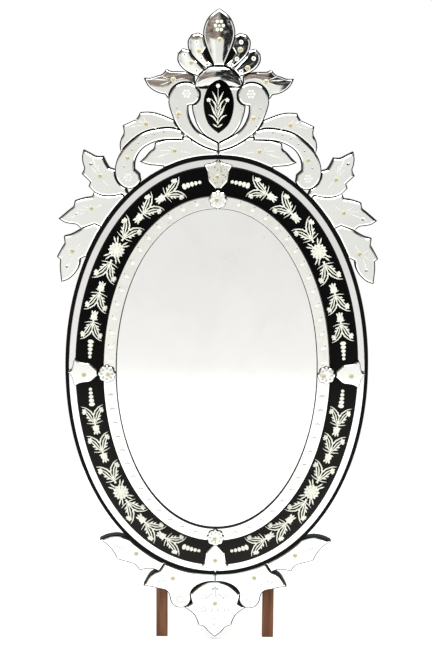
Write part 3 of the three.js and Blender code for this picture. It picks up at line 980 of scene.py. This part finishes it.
# Fine engraving: strokes and beads that stand a hair above the glass, drawn in millimetres
class Engraving:
    def __init__(self, toSurface):
        self.toSurface = toSurface
        self.points = []
        self.faces = []

    def add(self, u, v, lift):
        x, z, depth = self.toSurface(u, v)
        self.points.append((x, -(depth + lift * mm), z))
        return len(self.points) - 1

    # A stroke through points, with its width at each of them
    def stroke(self, path, widths, lift=0.45, pieces=3):
        path = [Vector(point) for point in path]
        count = len(path)
        stations = []
        for i in range(count - 1):
            before = path[i - 1] if i else 2 * path[0] - path[1]
            after = path[i + 2] if i + 2 < count else 2 * path[-1] - path[-2]
            for k in range(pieces + (i == count - 2)):
                t = k / pieces
                a = 2 * path[i]
                b = path[i + 1] - before
                c = 2 * before - 5 * path[i] + 4 * path[i + 1] - after
                d = 3 * path[i] - before - 3 * path[i + 1] + after
                point = 0.5 * (a + b * t + c * t * t + d * t ** 3)
                stations.append((point, widths[i] * (1 - t) + widths[i + 1] * t))
        rows = []
        for i, (point, width) in enumerate(stations):
            ahead = stations[min(i + 1, len(stations) - 1)][0] - stations[max(i - 1, 0)][0]
            side = Vector((-ahead.y, ahead.x)).normalized() * width / 2
            lifts = [0.05, lift * min(1, width / 1.5), 0.05]
            rows.append([self.add(*(point + side * s), h) for s, h in zip((1, 0, -1), lifts)])
        for a, b in zip(rows, rows[1:]):
            self.faces += [(a[0], b[0], b[1], a[1]), (a[1], b[1], b[2], a[2])]

    def leaf(self, root, tip, width, lift=0.5):
        root, tip = Vector(root), Vector(tip)
        path = [root.lerp(tip, t) for t in (0, 0.3, 0.65, 1)]
        self.stroke(path, [width * 0.3, width * 0.85, width, width * 0.15], lift, 2)

    # A domed oval; with square above 2 its outline comes nearer to a square
    def bead(self, u, v, radiusU, radiusV, lift=0.6, sides=12, square=2):
        outer, inner = [], []
        for turn in roundTurns(sides):
            c, s = math.cos(turn), math.sin(turn)
            swollen = (abs(c) ** square + abs(s) ** square) ** (-1 / square)
            c, s = c * swollen, s * swollen
            outer.append(self.add(u + radiusU * c, v + radiusV * s, 0.05))
            inner.append(self.add(u + radiusU * 0.6 * c, v + radiusV * 0.6 * s, lift * 0.75))
        top = self.add(u, v, lift)
        for k in range(sides):
            j = (k + 1) % sides
            self.faces.append((outer[k], outer[j], inner[j], inner[k]))
            self.faces.append((inner[k], inner[j], top))

    def flower(self, u, v, petals, length, width, core, turn=0.0):
        middle = Vector((u, v))
        for angle in roundTurns(petals):
            way = Vector((math.cos(turn + angle), math.sin(turn + angle)))
            self.leaf(middle + way * core * 0.6, middle + way * length, width)
        if core:
            self.bead(u, v, core, core, 0.7, 10)

    def beadFlower(self, u, v, reachU, reachV, petal):
        self.bead(u, v, petal * 0.7, petal * 0.7)
        for turn in roundTurns(6, 0.5):
            self.bead(u + reachU * math.sin(turn), v + reachV * math.cos(turn), petal, petal)

    def ring(self, u, v, radius, width=2.6):
        path = [(u + radius * math.cos(turn), v + radius * math.sin(turn)) for turn in roundTurns(10)]
        self.stroke([*path, path[0]], [width] * 11)

    def finish(self, name, material, slot):
        makePiece(name, self.points, self.faces, [material], slot, 60)


# Garland of the black band, along one quarter: u runs along the band, v across it, outwards.
# It starts at a set distance from each joint, because the covers there sit a little off it
garland = {
    "pearls": 5,
    "pearlSpacing": 10,
    "starts": {"top_left": (42, 30), "top_right": (31, 30),
               "bottom_left": (39, 46), "bottom_right": (39, 46)},
    "firstSprig": 48,
    "lastSprig": {"top": 87, "bottom": 83, "sides": 87},
    "flowerShift": {"top_left": -3, "top_right": -3, "bottom_left": 14, "bottom_right": 9},
    "flowerRadius": 21,
    "flowerLeaves": [((15, 10), (27, 23), 3.8), ((17, 6), (33, 15), 3.6)],
    "gapLine": ((7, 0), (12, 1.5), (17, 0)),
}


# One sprig of the garland: all but its middle stalk and vase is drawn on both sides of the middle
sprigLook = {
    "lines": [
        ([(28, 0), (18, 4), (10, 11), (4, 19), (1, 28)], [2.2, 2.8, 3.0, 2.4, 1.0]),
        ([(44, 1), (32, 6), (22, 10), (13, 17)], [2.0, 2.8, 3.2, 1.8]),
        ([(45, 3), (36, 10), (27, 14.5), (17, 20)], [2.4, 3.4, 3.4, 2.2]),
    ],
    "bud": (14, 21, 4.8, 4.4),
    "budRoot": (16, 20.5),
    "budTips": [(6.5, 19.5), (7, 26), (15, 28.5), (20, 27)],
    "leaves": [((40, 7), (37, 17)), ((33, 12), (29, 20)), ((24, 3), (13, 5))],
    "spur": ([(48, 0), (47, 10), (44, 21)], [2.8, 2.2, 0.8]),
    "vaseLip": ([(55, 4), (56, 11)], [3.0, 1.0]),
    "vaseLeaf": ((66, 3), (77, 7.5)),
    "stalk": ([(20, 0), (34, 0), (50, 0), (56, 0)], [1.4, 3.4, 4.0, 6.0]),
    "vase": (61, 0, 7.6, 8.0),
    "vaseTip": ((67, 0), (79, 0)),
}


def drawSprig(art, at, scale, flip, vase):
    def place(point, side=1):
        along = at + point[0] * scale
        return (along if flip == 1 else art.length - along), point[1] * side * scale

    def line(look, side=1):
        path, widths = look
        art.stroke([place(point, side) for point in path], [width * scale for width in widths])

    def leaf(root, tip, width, side=1):
        art.leaf(place(root, side), place(tip, side), width * scale)

    for side in (-1, 1):
        for look in sprigLook["lines"]:
            line(look, side)
        u, v, radiusU, radiusV = sprigLook["bud"]
        art.bead(*place((u, v), side), radiusU * scale, radiusV * scale, 0.5, 10)
        for tip in sprigLook["budTips"]:
            leaf(sprigLook["budRoot"], tip, 6.2, side)
        for root, tip in sprigLook["leaves"]:
            leaf(root, tip, 3.4, side)
        line(sprigLook["spur"], side)
        if vase:
            line(sprigLook["vaseLip"], side)
            leaf(*sprigLook["vaseLeaf"], 5, side)
    line(sprigLook["stalk"])
    if vase:
        u, v, radiusU, radiusV = sprigLook["vase"]
        art.bead(*place((u, v)), radiusU * scale, radiusV * scale, square=4)
        leaf(*sprigLook["vaseTip"], 5)


# Middle line of a band's first quarter, and how far along it each of its points is
def bandLine(band):
    middle = insets[band] + oval[band] / 2
    turns, marks = evenTurns(middle, 900)
    return np.array([ovalPoint(middle, turn) for turn in turns]), marks


def addGarland(corner):
    sideX, sideZ = corners[corner]
    path, marks = bandLine("black")
    ahead = np.gradient(path, axis=0)
    ahead /= np.hypot(ahead[:, 0], ahead[:, 1])[:, None]
    depth = depthRange("black_band_" + corner)[1]

    def toSurface(u, v):
        at = u * mm
        x = np.interp(at, marks, path[:, 0]) + v * mm * np.interp(at, marks, ahead[:, 1])
        z = np.interp(at, marks, path[:, 1]) - v * mm * np.interp(at, marks, ahead[:, 0])
        return oval["centreX"] + sideX * x, oval["centreZ"] + sideZ * z, depth

    art = Engraving(toSurface)
    art.length = marks[-1] / mm
    centre = art.length / 2 + garland["flowerShift"][corner]
    endStart, sideStart = garland["starts"][corner]
    lasts = garland["lastSprig"]
    endLast = lasts["top" if sideZ == 1 else "bottom"]
    for flip, start, fromFlower in ((1, sideStart, lasts["sides"]), (-1, endStart, endLast)):
        for k in range(garland["pearls"]):
            along = start + 4.6 + garland["pearlSpacing"] * k
            u = along if flip == 1 else art.length - along
            art.bead(u, 0, 4.3 + 0.25 * k, 4.3 + 0.85 * k)
        first = start + garland["firstSprig"]
        last = (centre if flip == 1 else art.length - centre) - fromFlower
        for at, scale in ((first, 1.0), (first * 0.52 + last * 0.48, 1.03), (last, 1.06)):
            drawSprig(art, at, scale, flip, at != last)
    radius = garland["flowerRadius"]
    art.flower(centre, 0, 13, radius, 9, 5)
    art.bead(centre, 0, radius * 0.84, radius * 0.84, 0.35, 24)
    art.flower(centre, 0, 8, radius * 0.75, 7, 4, 0.3)
    for flip in (1, -1):
        for side in (-1, 1):
            for root, tip, width in garland["flowerLeaves"]:
                ends = [(centre + flip * u, side * v) for u, v in (root, tip)]
                art.leaf(*ends, width)
    art.finish("garland_" + corner, engraving, "black_glass")
    gaps = Engraving(toSurface)
    for turn in roundTurns(9):
        way = Vector((math.cos(turn), math.sin(turn)))
        side = Vector((-way.y, way.x))
        line = [Vector((centre, 0)) + way * reach + side * bend for reach, bend in garland["gapLine"]]
        gaps.stroke(line, [0.8, 1.9, 0.8], 0.95)
    gaps.ring(centre, 0, 6.5, 1.3)
    gaps.finish("flowerGaps_" + corner, flowerGap, "black_glass")


def onPlate(node):
    front = depthRange(node)[1]
    return lambda x, z: (*spot(x, z), frontAt(*spot(x, z), front))


# Sprig on the medallion; x counts outwards from its stem
medallionSprig = {
    "stemX": -2.0,
    "stem": [(0, 718), (0.5, 680), (0, 628)],
    "stemWidths": [0.9, 1.5, 2.2],
    "leaves": [
        ([(1.5, 678), (6, 693), (14, 709)], 4.4), ([(1.5, 668), (8, 680), (17, 691)], 3.6),
        ([(1, 644), (9, 657), (17, 674)], 5.4), ([(0.5, 650), (5, 664), (8, 680)], 3.0),
        ([(1, 631), (11, 646), (23, 652)], 4.2),
    ],
    "stalk": [(8, 664), (16, 674), (21, 682)],
    "stalkWidths": [0.8, 1.1, 1.1],
    "flowers": [(0, 723), (23, 688)],
    "foot": [(0, 621), (12, 629)],
}


def addMedallionSprig():
    sprig = medallionSprig
    art = Engraving(onPlate("medallion"))

    def beside(path, side=1):
        return [(sprig["stemX"] + side * x, z) for x, z in path]

    top, flower = sprig["flowers"]
    art.stroke(beside(sprig["stem"]), sprig["stemWidths"])
    art.flower(*beside([top])[0], 6, 5.5, 4, 2.0)
    for side in (-1, 1):
        for path, width in sprig["leaves"]:
            art.stroke(beside(path, side), [1.0, width, 0.5])
        art.stroke(beside(sprig["stalk"], side), sprig["stalkWidths"])
        art.flower(*beside([flower], side)[0], 5, 5.5, 4.4, 2.0, 0.4)
        art.leaf(*beside(sprig["foot"], side), 3.6)
    art.finish("medallionSprig", engraving, "black_glass")


# Soft cuts on the leaves: lines that run out from each screw, and small flowers on the scrolls.
# Each leaf has its screw's place and then the tips of its lines, for the right side
leafCuts = {
    "upper_leaf": ((180, 627), [(214, 641), (228, 618), (188, 645), (150, 612)]),
    "lower_leaf": ((105, 561), [(168, 541), (150, 563), (128, 575), (62, 556)]),
    "upturned_leaf": ((297, 495), [(322, 558), (322, 522), (303, 530), (275, 470)]),
    "mid_leaf": ((318, 412), [(384, 388), (362, 412), (345, 424), (288, 428)]),
    "drooping_leaf": ((364, 305), [(384, 250), (392, 284), (386, 315), (345, 330)]),
    "side_leaf": ((115, 735), [(166, 738), (148, 722), (150, 748), (82, 742)]),
    "apron_leaf": ((210, -496), [(284, -466), (256, -484), (244, -462), (158, -512)]),
    "apron_wing": ((107, -562), [(168, -577), (150, -562), (132, -588), (62, -566)]),
}
scrollFlowers = {"c_scroll": (80, 703), "outer_scroll": (226, 494)}


def addLeafCuts():
    for side, word in halves:
        for leaf, (screw, tips) in leafCuts.items():
            art = Engraving(onPlate(leaf + "_" + word))
            for number, tip in enumerate(tips):
                start = Vector(screw).lerp(Vector(tip), 0.24)
                end = Vector(screw).lerp(Vector(tip), 0.92)
                width = 3.2 if number == 0 else 2.2
                art.leaf((side * start.x, start.y), (side * end.x, end.y), width, 0.35)
            # Painted shade: the apron's lines take the darker copy of the cut
            material = shadeCut if leaf.startswith("apron") else faintCut
            art.finish(camel(leaf + "_" + word) + "Lines", material, "mirror_glass")
        for scroll, middle in scrollFlowers.items():
            art = Engraving(onPlate(scroll + "_" + word))
            art.beadFlower(side * middle[0], middle[1], 8.0, 8.0, 3.1)
            material = softCut if scroll == "c_scroll" else faintCut
            art.finish(camel(scroll + "_" + word) + "Flower", material, "mirror_glass")


# Lines and rings on the apron's shield; those beside the middle are on both sides of it
shieldCuts = {
    "middleLine": ([(0, -622), (1, -605), (0, -590)], [2.0, 3.6, 2.0]),
    "middleBeads": [(-6, -592), (0, -589), (6, -592)],
    "middleRings": [(-2, -676, 3.4), (-1, -691, 2.8)],
    "sideLines": [
        ([(3, -620), (8, -606), (17, -612), (24, -620)], [1.6, 3.4, 3.0, 1.6]),
        ([(3, -642), (8, -652), (13, -662)], [1.6, 3.6, 1.6]),
    ],
    "sideRings": [(29, -615, 6), (31, -650, 6), (93, -622, 9)],
}


def addShieldCuts():
    art = Engraving(onPlate("apron_shield"))
    art.stroke(*shieldCuts["middleLine"])
    for x, z in shieldCuts["middleBeads"]:
        art.bead(x, z, 3.6, 4.4, 0.4, 10)
    for x, z, radius in shieldCuts["middleRings"]:
        art.ring(x, z, radius)
    for side in (-1, 1):
        for path, widths in shieldCuts["sideLines"]:
            art.stroke([(side * x, z) for x, z in path], widths)
        for x, z, radius in shieldCuts["sideRings"]:
            art.ring(side * x, z, radius)
    # Painted shade: the shield's lines take the darker copy of the cut
    art.finish("apronShieldLines", shadeCut, "mirror_glass")


def addTipFlower():
    art = Engraving(onPlate("tip_leaf"))
    art.beadFlower(0, 869, 9.6, 11.2, 4.4)
    art.finish("tipLeafFlower", engraving, "mirror_glass")


# Petals round the rosettes' screws
rosettePetals = {
    "middles": {"top": (0, 442), "left": (-281, -6), "right": (281, -6), "bottom": (0, -442)},
    "reach": 14,
    "radius": 3.6,
}


def addRosettePetals():
    radius = rosettePetals["radius"]
    for joint, middle in rosettePetals["middles"].items():
        art = Engraving(onPlate("rosette_" + joint))
        for turn in roundTurns(8):
            way = Vector((math.sin(turn), math.cos(turn)))
            art.bead(*(Vector(middle) + way * rosettePetals["reach"]), radius, radius, 0.25)
        # Painted shade: all rosettes but the top one take the darker copy of the cut
        art.finish("rosettePetals_" + joint, faintCut if joint == "top" else shadeCut, "mirror_glass")


# Dark middles of the round cuts on the lobes
def addLobeEyes():
    for node in ("upper_lobe_left", "upper_lobe_right", "lower_lobe_left", "lower_lobe_right"):
        art = Engraving(onPlate(node))
        for x, z in plateLooks[node]["dots"]:
            art.bead(x, z, 1.7, 1.7, 0.4, 8)
        art.finish(camel(node) + "Eyes", glassEdgeAndDarkReflection, "mirror_glass")


# Screws: a domed brass head in a pale collar, in millimetres; the profile gives shares of both sizes
screwLook = {
    "collar": 7.0,
    "collarHeight": 0.9,
    "head": 4.6,
    "headHeight": 2.1,
    "profile": [(1, -0.4), (1, 0.35), (0.86, 0.75), (0.5, 0.96)],
    "sides": 16,
    "plainDepth": 0.048,  # used where no plate is found under a screw
}
screwPlaces = {
    "crest": [(-49.7, 807.6), (-68.7, 778.8), (52.4, 811.2), (70.9, 766.6), (-113.4, 737.4),
              (117.5, 733.8), (-180.8, 628.3), (180.1, 626.8), (-109.5, 561.8), (103.1, 560.7),
              (1.0, 834.8)],
    "scrolls": [(-227.3, 542.8), (225.2, 540.2), (-99.4, 653.0), (87.5, 642.8)],
    "shoulders": [(-296.6, 497.5), (296.8, 492.5), (-318.9, 415.6), (318.1, 408.3), (-368.2, 307.1),
                  (360.4, 304.2)],
    "apron": [(-208.7, -495.5), (210.5, -497.7), (-112.0, -563.2), (103.1, -560.6), (-0.1, -632.6)],
    "bells": [(-0.4, -509.7), (-341.6, -12.0), (346.2, -10.7), (-2.0, 498.0)],
    "rosettes": [(-3.0, 441.0), (-277.9, -7.7), (274.2, -8.4), (-1.9, -445.9)],
}


def addScrews():
    sides, profile = screwLook["sides"], screwLook["profile"]
    turns = roundTurns(sides)
    for group, places in screwPlaces.items():
        for part, radius, height, material, slot in (
            ("Collars", screwLook["collar"], screwLook["collarHeight"], collarGlass, "mirror_glass"),
            ("Heads", screwLook["head"], screwLook["headHeight"], brass, "brass"),
        ):
            points, faces = [], []
            for x, z in places:
                cx, cz = spot(x, z)
                depth = frontAt(cx, cz, screwLook["plainDepth"])
                start = len(points)
                for share, rise in profile:
                    reach = radius * share * mm
                    for turn in turns:
                        points.append((cx + reach * math.cos(turn), -(depth + rise * height * mm),
                                       cz + reach * math.sin(turn)))
                top = len(points)
                points.append((cx, -(depth + height * mm), cz))
                last = top - sides
                for a in range(start, last):
                    b = a + 1 if (a + 1 - start) % sides else a + 1 - sides
                    faces.append((a, b, b + sides, a + sides))
                faces += [(last + k, last + (k + 1) % sides, top) for k in range(sides)]
                faces.append(tuple(range(start, start + sides)))
            makePiece(group + "Screw" + part, points, faces, [material], slot, 50)


# Cuts across the inner band: a painted highlight (glint) on each cut of the upper half, with a small
# painted dark reflection above it, and a painted dark reflection arc on each cut of the lower half
def addThumbGlints(corner):
    sideX, sideZ = corners[corner]
    path, marks = bandLine("inner")
    depth = depthRange("inner_band_" + corner)[1] - thumbCuts["deep"]

    def toSurface(x, z):
        return *spot(sideX * x, sideZ * z), depth

    glints, darkReflections = Engraving(toSurface), Engraving(toSurface)
    reflectionX, reflectionZ = thumbCuts["reflectionPlace"]
    for mark in np.arange(thumbCuts["first"], marks[-1] - thumbCuts["lastGap"], thumbCuts["spacing"]):
        x, z = (np.interp(mark, marks, path[:, axis]) / mm for axis in (0, 1))
        if sideZ == 1:
            # Painted highlight on the cut, and a painted dark reflection above it
            glints.bead(x, z, *thumbCuts["glintRadii"], 0.4)
            darkReflections.bead(x + reflectionX, z + reflectionZ, *thumbCuts["reflectionRadii"], 0.5, 8)
        else:
            # Painted dark reflection: a grey arc on the cut
            glints.stroke([(x + u, z + v) for u, v in thumbCuts["arc"]], thumbCuts["arcWidths"], 1.1)
    glints.finish("thumbGlints_" + corner, softCut if sideZ == 1 else pitCut, "mirror_glass")
    if sideZ == 1:
        darkReflections.finish("thumbPits_" + corner, glassEdgeAndDarkReflection, "mirror_glass")


for corner in corners:
    addThumbGlints(corner)
    addGarland(corner)
addMedallionSprig()
addLeafCuts()
addShieldCuts()
addTipFlower()
addRosettePetals()
addLobeEyes()
addScrews()
print("engraving and screws made")


# CAD solids that keep their own shape
for node, material in {
    "centre_mirror": centreGlass, "batten_left": brownWood, "batten_right": brownWood,
    "hanging_rail": brownWood, "backing_board": brownWood,
}.items():
    mesh = nodes[node].data
    mesh.materials.clear()
    mesh.materials.append(material)


# Floor, light and surroundings
room = {
    "floorNear": -3.15,
    "floorFar": 1.6,
    "floorHalfWidth": 3.2,
    "floorGlow": 0.5,
    "lampPower": 130,
    "lampPlace": (0, -1.5, 2.6),
    "lampSize": (3.4, 2.4),
}


def addFloor():
    level = cadBox[0][2]
    near, far, half = room["floorNear"], room["floorFar"], room["floorHalfWidth"]
    points = [(-half, near, level), (half, near, level), (half, far, level), (-half, far, level)]
    mesh = bpy.data.meshes.new("floor")
    mesh.from_pydata(points, [], [(0, 1, 2, 3)])
    material, finish = newFinish("paleFloor")
    soft = finish.noise(finish.place(), 3, 3, 0.5)
    colour = finish.mix(soft, (0.90, 0.90, 0.895), (0.87, 0.87, 0.865))
    finish.surface({
        "Base Color": colour,
        "Roughness": 0.7,
        "Emission Color": colour,
        "Emission Strength": room["floorGlow"],
    })
    mesh.materials.append(material)
    floor = bpy.data.objects.new("floor", mesh)
    scene.collection.objects.link(floor)


def addLamp():
    data = bpy.data.lights.new("overheadLamp", "AREA")
    data.shape = "RECTANGLE"
    data.size, data.size_y = room["lampSize"]
    data.energy = room["lampPower"]
    lamp = bpy.data.objects.new("overheadLamp", data)
    lamp.location = room["lampPlace"]
    scene.collection.objects.link(lamp)


# The room in front, drawn by direction: x to the right, z up
def addSurroundings():
    world = bpy.data.worlds.new("studio")
    scene.world = world
    finish = Finish(world)
    way = finish.node("ShaderNodeTexCoord", {}, {}).pick("Generated")
    parts = finish.node("ShaderNodeSeparateXYZ", {}, {"Vector": way})
    x, y, z = parts.pick("X"), parts.pick("Y"), parts.pick("Z")
    streaks = finish.noise(finish.stretched(way, (7, 7, 24)), 1, 4, 0.62, 1.2)
    dark = finish.ramp(streaks, [(0.40, (0.010, 0.010, 0.012)), (0.56, (0.025, 0.025, 0.025)),
                                 (0.62, (0.16, 0.16, 0.16)), (0.67, (0.75, 0.78, 0.78))])
    brown = finish.ramp(streaks, [(0.36, (0.05, 0.05, 0.055)), (0.46, (0.25, 0.19, 0.16)),
                                  (0.56, (0.36, 0.30, 0.27)), (0.66, (0.80, 0.79, 0.77))])
    band = finish.mix(x.between(-0.02, 0.08), brown, dark)
    grey = finish.mix(z.between(-0.21, -0.10), (0.985, 0.983, 0.978), (0.87, 0.87, 0.865))
    window = x.within(-0.26, -0.23, -0.15, -0.11) * z.between(-0.22, -0.18)
    lower = finish.mix(window, grey, (1.05, 1.05, 1.04))
    whole = finish.mix(z.between(0.0, 0.020), lower, band)
    light = z.between(0.40, 0.52) * x.within(-0.36, -0.30, 0.30, 0.36)
    whole = finish.mix(light, whole, (0.76, 0.90, 0.87))
    curtain = x.within(0.13, 0.17, 0.80, 0.88) + x.within(-0.88, -0.80, -0.32, -0.28)
    whole = finish.mix(curtain * z.between(-0.32, -0.24), whole, band)
    walls = x.between(0.80, 0.88) + (1 - x.between(-0.88, -0.80))
    whole = finish.mix(walls, whole, (0.86, 0.86, 0.85))
    whole = finish.mix(z.between(0.62, 0.70), whole, (0.90, 0.91, 0.91))
    # The wall side, and all that is seen directly, is plain white; the rest shows in reflections only
    seen = finish.node("ShaderNodeLightPath", {}, {}).pick("Is Camera Ray")
    for share in (y.between(-0.15, 0.1), seen):
        whole = finish.mix(share, whole, (1.0, 1.0, 1.0))
    backdrop = finish.node("ShaderNodeBackground", {}, {"Color": whole, "Strength": 1.0})
    finish.node("ShaderNodeOutputWorld", {}, {"Surface": backdrop})


addFloor()
addLamp()
addSurroundings()
scene.view_settings.view_transform = "Standard"
scene.view_settings.look = "None"
print("floor and light made")
